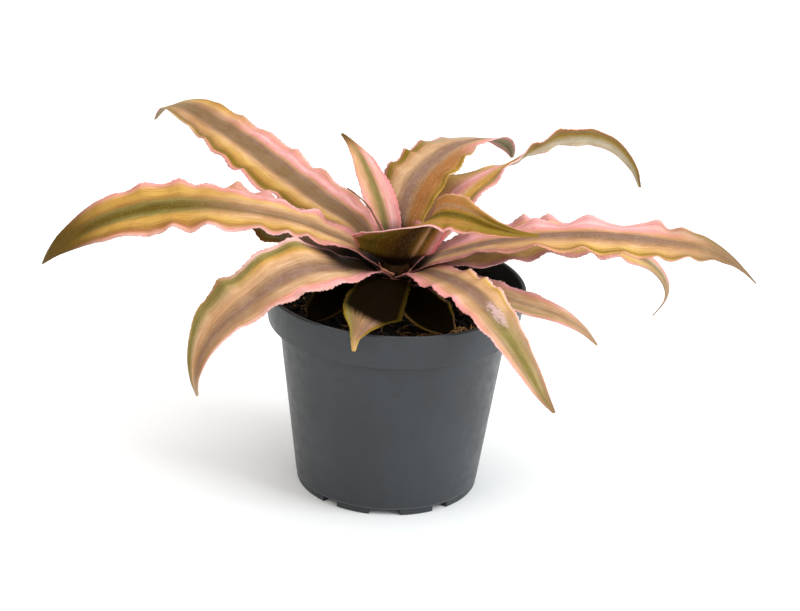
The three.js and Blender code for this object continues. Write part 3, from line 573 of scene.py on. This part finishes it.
def leaf_fields(tree, seed):
    """Place across the blade with fibrous stripe borders, and the fine lines that run along it."""
    across = attribute(tree, "across")
    reach = attribute(tree, "reach")
    slow = noise_node(tree, vector(tree, seed * 3.7, times(tree, reach, 0.5), 0.0))
    fibre = leaf_noise(tree, across, reach, 20.0, 0.35, seed * 1.3, detail=5.0, roughness=0.65)
    shifted = swayed(tree, swayed(tree, across, slow, 0.08), fibre, 0.12)
    lines = leaf_noise(tree, across, reach, 60.0, 0.9, seed * 2.1, detail=3.0, roughness=0.65)
    return across, reach, shifted, lines


def weathered(tree, colour, across, reach, lines, seed):
    """Adds the mottling, the fine dark lines, the brown blemishes and the pale scales of a grown leaf."""
    patches = leaf_noise(tree, across, reach, 1.6, 0.9, seed * 4.3, detail=4.0, roughness=0.6)
    mottled = mix(tree, remap(tree, patches, 0.34, 0.66), srgb(238, 230, 218), WHITE)
    colour = mix(tree, 1.0, colour, mottled, "MULTIPLY")
    lined = mix(tree, remap(tree, lines, 0.3, 0.7), srgb(206, 198, 186), WHITE)
    colour = mix(tree, 1.0, colour, lined, "MULTIPLY")
    spots = leaf_noise(tree, across, reach, 7.0, 4.0, seed * 5.9, scale=1.3, detail=5.0, roughness=0.7)
    colour = mix(tree, remap(tree, spots, 0.62, 0.74, 0, 0.3), colour, PALETTE["clay"])
    scales = leaf_noise(tree, across, reach, 26.0, 18.0, seed * 0.7, scale=1.5, detail=0.0)
    return mix(tree, remap(tree, scales, 0.74, 0.82, 0, 0.4), colour, srgb(240, 220, 196))


def shaded_base(tree, colour, across, reach, lines, leaf):
    """Paints shade on a leaf towards the stem, where it never sees the light, and paints less of it on the
    rims.
    """
    start, end, slant = leaf.get("dark", (6, 16, 0))
    wander = math_node(tree, "MULTIPLY_ADD", across, -slant / 10, swayed(tree, reach, lines, 0.5))
    depth = remap(tree, wander, start / 10, end / 10, 0.985, 0)
    rim = remap(tree, math_node(tree, "ABSOLUTE", across), 0.84, 0.97, 1, leaf.get("rim", 0.45))
    return mix(tree, times(tree, depth, rim), colour, PALETTE[leaf.get("shade", "shade")])


def wax_mark(tree, across, reach, place, length):
    """A small ragged patch where the leaf's bloom has been rubbed."""
    sideways = times(tree, math_node(tree, "SUBTRACT", across, place), 2.6)
    lengthways = math_node(tree, "SUBTRACT", reach, length)
    ragged = leaf_noise(tree, across, reach, 9.0, 5.0, 0.0, detail=3.0, roughness=0.7)
    distance = math_node(tree, "ADD", times(tree, sideways, sideways), times(tree, lengthways, lengthways))
    return remap(tree, swayed(tree, distance, ragged, 2.6), -0.1, 0.8, 0.42, 0)


def leaf_upper(name, leaf, seed):
    material, tree, shader = new_material(name + "_upper")
    across, reach, shifted, lines = leaf_fields(tree, seed)
    wander = swayed(tree, attribute(tree, "along"), lines, 0.2)
    colour = stripes_ramp(tree, shifted, leaf.get("stripes", PLAIN_STRIPES))
    tip = stripes_ramp(tree, shifted, leaf.get("tip", PLAIN_TIP))
    tip_from = leaf.get("tip_from", 0.6)
    colour = mix(tree, remap(tree, wander, tip_from, tip_from + 0.24), colour, tip)
    end_from = leaf.get("end_from", 0.8)
    end = PALETTE[leaf.get("end", "clay")]
    colour = mix(tree, remap(tree, wander, end_from, end_from + 0.18), colour, end)
    margin = remap(tree, math_node(tree, "ABSOLUTE", shifted), 0.46, 0.82)
    base = remap(tree, reach, 1.8, leaf.get("blush", 4.6), 0.85, 0)
    colour = mix(tree, times(tree, margin, base), colour, PALETTE["pink"])
    colour = weathered(tree, colour, across, reach, lines, seed)
    if "mark" in leaf:
        colour = mix(tree, wax_mark(tree, across, reach, *leaf["mark"]), colour, srgb(232, 194, 200))
    colour = shaded_base(tree, colour, across, reach, lines, leaf)
    finish(tree, shader, colour, leaf.get("gloss", 0.06), remap(tree, lines, 0.2, 0.8, 0.4, 0.6),
           lines, 0.3, 0.0003)
    return material


def leaf_lower(name, leaf, seed):
    material, tree, shader = new_material(name + "_lower")
    across, reach, shifted, lines = leaf_fields(tree, seed + 50)
    colour = stripes_ramp(tree, shifted, leaf.get("under", UNDER_STRIPES))
    dashes = leaf_noise(tree, across, reach, 34.0, 5.0, seed * 1.9, scale=1.6, roughness=0.7)
    colour = mix(tree, remap(tree, dashes, 0.54, 0.68, 0, 0.55), colour, srgb(92, 86, 58))
    colour = weathered(tree, colour, across, reach, lines, seed + 50)
    # Painted shade on the underside, close to the stem
    colour = shaded_base(tree, colour, across, reach, lines, {"dark": (4, 10, 0)})
    finish(tree, shader, colour, 0.05, remap(tree, lines, 0.2, 0.8, 0.5, 0.7), dashes, 0.3, 0.0003)
    return material


# Mesh helpers, which take lengths in millimetres and make them metres

def add_piece(name, mesh, material=None):
    """Makes a scene object of a bmesh; one that gets its material here is smooth."""
    data = bpy.data.meshes.new(name)
    mesh.to_mesh(data)
    mesh.free()
    if material:
        data.shade_smooth()
        data.materials.append(material)
    return add_object(name, data)


def circle(mesh, radius, height, segments):
    """Vertices round Z, or a single one where the radius is 0."""
    if radius == 0:
        return [mesh.verts.new((0, 0, height * MM))]
    angles = [2 * pi * s / segments for s in range(segments)]
    return [mesh.verts.new((radius * MM * cos(a), radius * MM * sin(a), height * MM))
            for a in angles]


def bridge(mesh, rings, closed=True):
    """Faces between each row of vertices and the next."""
    for first, second in zip(rings, rings[1:]):
        count = max(len(first), len(second))
        for s in range(count if closed else count - 1):
            t = (s + 1) % count
            corners = [first[s % len(first)], first[t % len(first)],
                       second[t % len(second)], second[s % len(second)]]
            mesh.faces.new(list(dict.fromkeys(corners)))


def turned(name, outline, segments):
    """A piece turned about Z from an outline of (radius, height) that starts and ends on the axis."""
    mesh = bmesh.new()
    bridge(mesh, [circle(mesh, radius, height, segments) for radius, height in outline])
    bmesh.ops.recalc_face_normals(mesh, faces=mesh.faces)
    return add_piece(name, mesh)


def rounded(corners, steps=4):
    """The outline through corners of (radius, height, rounding), with the rounded ones turned into arcs."""
    points = [np.array(corner[:2], float) for corner in corners]
    outline = []
    for k, (_, _, rounding) in enumerate(corners):
        corner = points[k]
        if rounding == 0:
            outline.append(tuple(corner))
            continue
        before = points[k - 1] - corner
        after = points[k + 1] - corner
        size_before = np.linalg.norm(before)
        size_after = np.linalg.norm(after)
        cut = min(rounding, size_before * 0.45, size_after * 0.45)
        start = corner + before / size_before * cut
        end = corner + after / size_after * cut
        for step in range(steps + 1):
            t = step / steps
            outline.append(tuple(start * (1 - t) ** 2 + corner * 2 * t * (1 - t) + end * t ** 2))
    return outline


def cut_away(piece, cutter):
    modifier = piece.modifiers.new("cut", "BOOLEAN")
    modifier.operation = "DIFFERENCE"
    modifier.solver = "EXACT"
    modifier.object = cutter
    bpy.context.view_layer.update()
    depsgraph = bpy.context.evaluated_depsgraph_get()
    cut = bpy.data.meshes.new_from_object(piece.evaluated_get(depsgraph))
    piece.modifiers.clear()
    piece.data = cut
    bpy.data.objects.remove(cutter)


# Pot, with lengths in millimetres and angles in degrees

BODY_HEIGHT = 79.8
BAND_FOOT_RADIUS = 57.5
BODY_TOP_RADIUS = 52.4
BODY_FOOT_RADIUS = 42.4
SHOULDER = 0.8
WALL = 1.4
FOOT_HEIGHT = 3.0
FOOT_STEP = 0.5
FOOT_WIDTH = 3.4
FOOT_GAPS = [(-37, 11), (0, 20), (37, 11)]
PAD_RADIUS = 8.0
PAD_SLOPE = 2
LIP_WIDTH = 2.0
LIP_ROUND = 0.5
HOLES = 5
HOLE_RADIUS = 4.5
HOLE_CIRCLE = 27
HOLE_LOW = -4
HOLE_HIGH = 9
POT_SEGMENTS = 240
HOLE_SEGMENTS = 48


def gap_cutter(middle, width):
    """A block of a ring that cuts a gap of a width, about a middle, out of the foot."""
    steps = 12
    inner = BODY_FOOT_RADIUS - 2 * FOOT_WIDTH
    outer = BODY_FOOT_RADIUS + FOOT_WIDTH
    angles = [radians(middle - width / 2 + width * k / steps) for k in range(steps + 1)]
    outline = [(outer * cos(a), outer * sin(a)) for a in angles]
    outline += [(inner * cos(a), inner * sin(a)) for a in reversed(angles)]
    mesh = bmesh.new()
    rings = [[mesh.verts.new((x * MM, y * MM, z * MM)) for x, y in outline]
             for z in (-FOOT_HEIGHT, FOOT_HEIGHT - FOOT_STEP / 2)]
    for ring in rings:
        mesh.faces.new(ring)
    bridge(mesh, rings)
    bmesh.ops.recalc_face_normals(mesh, faces=mesh.faces)
    return add_piece("gap", mesh)


def thin_line(tree, height, middle, width, strength):
    """How much of a thin level line along an edge covers a height in metres; the pot uses it for a line of
    painted shade and a line of painted highlight.
    """
    distance = math_node(tree, "ABSOLUTE", math_node(tree, "SUBTRACT", height, middle * MM))
    return remap(tree, distance, 0.2 * width * MM, width * MM, strength, 0)


def pot_material():
    material, tree, shader = new_material("pot_plastic")
    place = object_place(tree)
    height = new_node(tree, "SeparateXYZ", {0: place}).outputs["Z"]
    cloud = noise_node(tree, place, scale=26.0, detail=3.0)
    grain = noise_node(tree, place, scale=1500.0)
    scuff = noise_node(tree, place, scale=160.0, detail=5.0, roughness=0.7)
    # Painted shade: a thin dark line along the band's lower edge, where the band stands out from the body
    band_edge_shade = thin_line(tree, height, BODY_HEIGHT, 1.3, 0.6)
    # Painted highlight: a thin light line along the body's lower edge, just above the foot
    foot_edge_highlight = thin_line(tree, height, FOOT_HEIGHT + FOOT_STEP, 0.5, 0.4)
    colour = mix(tree, remap(tree, cloud, 0.3, 0.7), srgb(47, 49, 51), srgb(52, 55, 58))
    colour = mix(tree, remap(tree, scuff, 0.58, 0.72, 0, 0.4), colour, srgb(42, 43, 44))
    colour = mix(tree, remap(tree, grain, 0.66, 0.8, 0, 0.4), colour, srgb(88, 90, 90))
    # The band's painted shade line, then the painted highlight line along the body's foot
    colour = mix(tree, band_edge_shade, colour, srgb(26, 27, 28))
    colour = mix(tree, foot_edge_highlight, colour, srgb(104, 106, 106))
    finish(tree, shader, colour, 0.3, remap(tree, scuff, 0.3, 0.7, 0.34, 0.48), grain, 0.12, 0.0002)
    return material


def make_pot():
    foot = BODY_FOOT_RADIUS - FOOT_STEP
    rim = RIM_RADIUS / MM
    top = RIM_HEIGHT / MM
    outline = rounded([
        (0, 0, 0), (PAD_RADIUS, 0, 0.6), (PAD_RADIUS + PAD_SLOPE, FOOT_HEIGHT, 1.0),
        (foot - FOOT_WIDTH, FOOT_HEIGHT, 0.6), (foot - FOOT_WIDTH, 0, 0.5), (foot, 0, 0.6),
        (foot, FOOT_HEIGHT, 0.2), (BODY_FOOT_RADIUS, FOOT_HEIGHT + FOOT_STEP, 0.5),
        (BODY_TOP_RADIUS, BODY_HEIGHT - SHOULDER, 0.5), (BAND_FOOT_RADIUS - 0.1, BODY_HEIGHT, 0.9),
        (rim, top - LIP_ROUND, 0.5), (rim - LIP_ROUND, top, 0.5),
        (rim - LIP_WIDTH + LIP_ROUND, top, 0.5), (rim - LIP_WIDTH, top - LIP_ROUND, 0.5),
        (BAND_FOOT_RADIUS - WALL, BODY_HEIGHT + WALL, 0.6),
        (BODY_TOP_RADIUS - WALL, BODY_HEIGHT - SHOULDER, 0.6),
        (BODY_FOOT_RADIUS - WALL, FOOT_HEIGHT + WALL, 1.0),
        (PAD_RADIUS + PAD_SLOPE, FOOT_HEIGHT + WALL, 0.5), (PAD_RADIUS, WALL, 0.5), (0, WALL, 0),
    ])
    pot = turned("pot_moulded", outline, POT_SEGMENTS)
    for middle in (-90, 90):
        for offset, width in FOOT_GAPS:
            cut_away(pot, gap_cutter(middle + offset, width))
    for k in range(HOLES):
        angle = -pi / 2 + k * 2 * pi / HOLES
        profile = [(0, HOLE_LOW), (HOLE_RADIUS, HOLE_LOW), (HOLE_RADIUS, HOLE_HIGH), (0, HOLE_HIGH)]
        hole = turned("hole", profile, HOLE_SEGMENTS)
        hole.location = (HOLE_CIRCLE * MM * cos(angle), HOLE_CIRCLE * MM * sin(angle), 0)
        cut_away(pot, hole)
    pot.data.shade_smooth()
    pot.data.set_sharp_from_angle(angle=radians(38))
    pot.data.materials.clear()
    pot.data.materials.append(pot_material())
    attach(pot, "root")
    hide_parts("pot")


# Soil, with its top raised into crumbs and lying fibres

SOIL_SEED = 11
SOIL_TOP = 9.0
SOIL_RADIUS = 56.0
SOIL_DOME = 58
SOIL_RINGS = 90
SOIL_SEGMENTS = 220
STEM_HOLE = STEM_RADIUS + 0.4
STEM_FOOT = 64.5
CRUMBS = 700
FIBRES = 240
FIBRE_SIDES = 5
FIBRE_STEPS = 7
FIBRE_SPREAD = 54
FIBRE_REACH = 55.5
FRONT_FIBRES = 0.4
FRONT_RADII = (38, FIBRE_SPREAD)
FRONT_ANGLES = (-86, -46)
# The soil's sides from the middle of the pot's floor up, as (radius, height)
SOIL_SIDE = [(0, 1.8), (7.5, 1.8), (9.5, 4.8), (40.5, 4.8), (50.4, BODY_HEIGHT - 0.8),
             (51.2, BODY_HEIGHT + 0.4)]


def soil_height(x, y):
    """Height of the soil's surface at a place."""
    level = RIM_HEIGHT / MM - SOIL_TOP + 1 - hypot(x, y) / SOIL_DOME
    coarse = noise.noise(Vector((x * 0.16, y * 0.16, 3.1)))
    middle = noise.noise(Vector((x * 0.5, y * 0.5, 8.3)))
    fine = noise.noise(Vector((x * 1.5, y * 1.5, 1.7)))
    return level + 0.9 * coarse + 0.7 * middle + 0.35 * fine


def soil_material():
    material, tree, shader = new_material("soil_peat")
    place = object_place(tree)
    patch = noise_node(tree, place, scale=320.0, detail=4.0, roughness=0.7)
    grain = noise_node(tree, place, scale=1400.0, detail=3.0, roughness=0.7)
    colour = mix(tree, remap(tree, patch, 0.4, 0.62), srgb(11, 7, 4), srgb(30, 18, 9))
    colour = mix(tree, remap(tree, patch, 0.6, 0.72, 0, 0.7), colour, srgb(62, 32, 14))
    colour = mix(tree, remap(tree, grain, 0.66, 0.78, 0, 0.35), colour, srgb(104, 74, 40))
    finish(tree, shader, colour, 0.25, remap(tree, grain, 0.3, 0.7, 0.75, 0.95), grain, 0.8, 0.0008)
    return material


def plain_material(name, scale, detail, colours, gloss, rough):
    """A dry plant material, mottled with two colours."""
    material, tree, shader = new_material(name)
    patch = noise_node(tree, object_place(tree), scale, detail)
    colour = mix(tree, remap(tree, patch, 0.35, 0.65), *colours)
    finish(tree, shader, colour, gloss, remap(tree, patch, 0.3, 0.7, *rough), patch, 0.4, 0.0004)
    return material


def add_crumbs(mesh, draw):
    noise.seed_set(SOIL_SEED)
    for _ in range(CRUMBS):
        radius = SOIL_RADIUS * sqrt(draw.uniform(0.03, 0.94))
        angle = draw.uniform(0, 2 * pi)
        x = radius * cos(angle)
        y = radius * sin(angle)
        size = 0.5 + 1.5 * draw.random() ** 2.2
        turn = Matrix.Rotation(draw.uniform(0, 6.3), 4, "Z") @ Matrix.Rotation(draw.uniform(0, 6.3), 4, "X")
        sizes = (draw.uniform(0.7, 1.5), draw.uniform(0.6, 1.1), draw.uniform(0.5, 0.9), 1)
        place = Matrix.Translation((x * MM, y * MM, (soil_height(x, y) + size * 0.3) * MM))
        matrix = place @ turn @ Matrix.Diagonal(sizes)
        made = bmesh.ops.create_icosphere(mesh, subdivisions=1, radius=size * MM, matrix=matrix)
        for vertex in made["verts"]:
            vertex.co += noise.noise_vector(vertex.co * 900) * size * 0.35 * MM


def make_soil(draw):
    mesh = bmesh.new()
    step = (STEM_HOLE - SOIL_RADIUS) / SOIL_RINGS
    rings = [circle(mesh, SOIL_RADIUS + step * ring, 0, SOIL_SEGMENTS) for ring in range(SOIL_RINGS + 1)]
    for vertex in mesh.verts:
        vertex.co.z = soil_height(vertex.co.x / MM, vertex.co.y / MM) * MM
    side = [circle(mesh, *point, SOIL_SEGMENTS) for point in SOIL_SIDE]
    hole = [circle(mesh, radius, STEM_FOOT, SOIL_SEGMENTS) for radius in (STEM_HOLE, 0)]
    bridge(mesh, side + rings + hole)
    add_crumbs(mesh, draw)
    bmesh.ops.recalc_face_normals(mesh, faces=mesh.faces)
    soil = add_piece("soil_crumbs", mesh, soil_material())
    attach(soil, "root")
    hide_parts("soil")


def make_fibres(draw):
    """Fibres that lie on the soil, more of them at the front on the right."""
    mesh = bmesh.new()
    for _ in range(FIBRES):
        radius = FIBRE_SPREAD * sqrt(draw.uniform(0.1, 0.95))
        angle = draw.uniform(0, 2 * pi)
        if draw.random() < FRONT_FIBRES:
            radius = draw.uniform(*FRONT_RADII)
            angle = radians(draw.uniform(*FRONT_ANGLES))
        x = radius * cos(angle)
        y = radius * sin(angle)
        heading = draw.uniform(0, 2 * pi)
        bend = draw.uniform(-0.35, 0.35)
        length = draw.uniform(3, 11)
        thickness = draw.uniform(0.12, 0.42)
        rings = []
        for step in range(FIBRE_STEPS + 1):
            t = step / FIBRE_STEPS
            if hypot(x, y) > FIBRE_REACH:
                break
            width = thickness * (1 - 0.8 * abs(2 * t - 1) ** 3)
            centre = Vector((x, y, soil_height(x, y) + width + 0.5 * sin(pi * t)))
            across = Vector((-sin(heading), cos(heading), 0)) * width
            up = Vector((0, 0, width))
            turns = [2 * pi * k / FIBRE_SIDES for k in range(FIBRE_SIDES)]
            rings.append([mesh.verts.new((centre + across * cos(a) + up * sin(a)) * MM)
                          for a in turns])
            heading += bend / 2
            x += length / FIBRE_STEPS * cos(heading)
            y += length / FIBRE_STEPS * sin(heading)
        if len(rings) > 2:
            bridge(mesh, rings)
            mesh.faces.new(rings[0])
            mesh.faces.new(rings[-1])
    bmesh.ops.recalc_face_normals(mesh, faces=mesh.faces)
    loose = [v for v in mesh.verts if not v.link_faces]
    bmesh.ops.delete(mesh, geom=loose, context="VERTS")
    colours = (srgb(82, 50, 26), srgb(168, 120, 66))
    husk = plain_material("soil_fibre", 240.0, 3.0, colours, 0.5, (0.6, 0.85))
    fibres = add_piece("soil_fibres", mesh, husk)
    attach(fibres, "root")


def dress_stem():
    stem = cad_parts["stem"]
    colours = (srgb(34, 20, 10), srgb(64, 40, 20))
    stem.data.materials.clear()
    stem.data.materials.append(plain_material("stem_bark", 420.0, 4.0, colours, 0.05, (0.6, 0.8)))


# Crown of dry scales about the stem, wider and more open where the photograph shows them

CROWN_SCALES = 16
CROWN_START = 180
CROWN_SPAN = 170
CROWN_FRONT = 258
CROWN_FRONT_SPREAD = 32
CROWN_STEPS = 10
CROWN_COLUMNS = 7
CROWN_THICKNESS = 0.4
CROWN_MERGE = 0.02


def crown_material():
    material, tree, shader = new_material("crown_scales")
    patch = noise_node(tree, object_place(tree), scale=520.0, detail=4.0, roughness=0.65)
    lit = swayed(tree, attribute(tree, "along"), patch, 0.9)
    colour = mix(tree, remap(tree, patch, 0.35, 0.65), srgb(44, 26, 12), srgb(88, 54, 28))
    colour = mix(tree, remap(tree, lit, 0.5, 0.85), colour, srgb(206, 138, 108))
    finish(tree, shader, colour, 0.2, remap(tree, patch, 0.3, 0.7, 0.5, 0.75), patch, 0.4, 0.0004)
    return material


def make_crown():
    draw = random.Random(23)
    mesh = bmesh.new()
    layer = mesh.verts.layers.float.new("along")
    for k in range(CROWN_SCALES):
        azimuth = CROWN_START + CROWN_SPAN * (k + draw.uniform(-0.3, 0.3)) / CROWN_SCALES
        front = exp(-((azimuth - CROWN_FRONT) / CROWN_FRONT_SPREAD) ** 2)
        foot = draw.uniform(-4, 3) + 4.5 * front
        height = draw.uniform(5, 8)
        half = draw.uniform(2.4, 3.8) + 1.8 * front
        lean = draw.uniform(0.4, 1.6) + 4.2 * front
        blunt = 3 + 6 * front
        grid = []
        for step in range(CROWN_STEPS + 1):
            t = step / CROWN_STEPS
            row = []
            for column in range(CROWN_COLUMNS):
                share = 2 * column / (CROWN_COLUMNS - 1) - 1
                reach = share * half * (1 - t ** blunt) * (0.8 + 0.2 * sin(9 * t + k))
                radius = STEM_RADIUS + 0.3 + lean * t * t - 0.5 * share * share + draw.uniform(-0.12, 0.12)
                angle = radians(azimuth) + reach / radius
                z = foot + height * t + RIM_HEIGHT / MM + draw.uniform(-0.15, 0.15)
                place = (radius * cos(angle) * MM, radius * sin(angle) * MM, z * MM)
                row.append(mesh.verts.new(place))
                row[-1][layer] = t
            grid.append(row)
        bridge(mesh, grid, closed=False)
    bmesh.ops.remove_doubles(mesh, verts=mesh.verts, dist=CROWN_MERGE * MM)
    crown = add_piece("crown_scales", mesh, crown_material())
    thicken = crown.modifiers.new("thickness", "SOLIDIFY")
    thicken.thickness = CROWN_THICKNESS * MM
    thicken.offset = 0
    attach(crown, "root")


# Stage, lights and camera, in metres

def make_stage():
    mesh = bmesh.new()
    bmesh.ops.create_grid(mesh, x_segments=8, y_segments=8, size=6)
    material, _, shader = new_material("floor_paper")
    shader.inputs["Base Color"].default_value = srgb(245, 245, 244)
    shader.inputs["Roughness"].default_value = 0.9
    floor = add_piece("floor", mesh, material)


def area_light(name, place, aim, size, power, colour):
    data = bpy.data.lights.new(name, "AREA")
    data.shape = "RECTANGLE"
    data.size, data.size_y = size
    data.energy = power
    data.color = colour
    light = add_object(name, data)
    light.location = place
    light.rotation_euler = (Vector(aim) - Vector(place)).to_track_quat("-Z", "Y").to_euler()


def make_lights():
    area_light("key_left", (-1.1, -0.7, 1.3), (0, 0, 0.08), (1.2, 1.2), 8.5, (1, 0.985, 0.95))
    area_light("fill_right", (1.3, -0.5, 0.8), (0, 0, 0.06), (0.9, 1.3), 25, (0.89, 0.96, 1))
    area_light("top", (0, 0.4, 1.6), (0, 0, 0.1), (1.6, 1.6), 14, (1, 1, 1))
    world = bpy.data.worlds.new("studio")
    world.use_nodes = True
    background = world.node_tree.nodes["Background"]
    background.inputs["Color"].default_value = (1, 1, 1, 1)
    background.inputs["Strength"].default_value = 0.75
    bpy.context.scene.world = world


def make_camera():
    data = bpy.data.cameras.new("camera")
    data.lens = CAMERA_LENS
    data.sensor_width = 36
    data.clip_start = 0.05
    data.clip_end = 20
    camera = add_object("camera", data)
    turn = (CAMERA_AIM - CAMERA_PLACE).to_track_quat("-Z", "Y").to_matrix().to_4x4()
    roll = Matrix.Rotation(radians(CAMERA_ROLL), 4, "Z")
    camera.matrix_world = Matrix.Translation(CAMERA_PLACE) @ turn @ roll
    bpy.context.scene.camera = camera


make_camera()
make_lights()
make_stage()
make_pot()
soil_draw = random.Random(SOIL_SEED)
make_soil(soil_draw)
make_fibres(soil_draw)
dress_stem()
make_crown()
for seed, (name, leaf) in enumerate(LEAVES.items()):
    leaf_piece(name, leaf, seed + 1)

bpy.context.scene.view_settings.view_transform = "Standard"
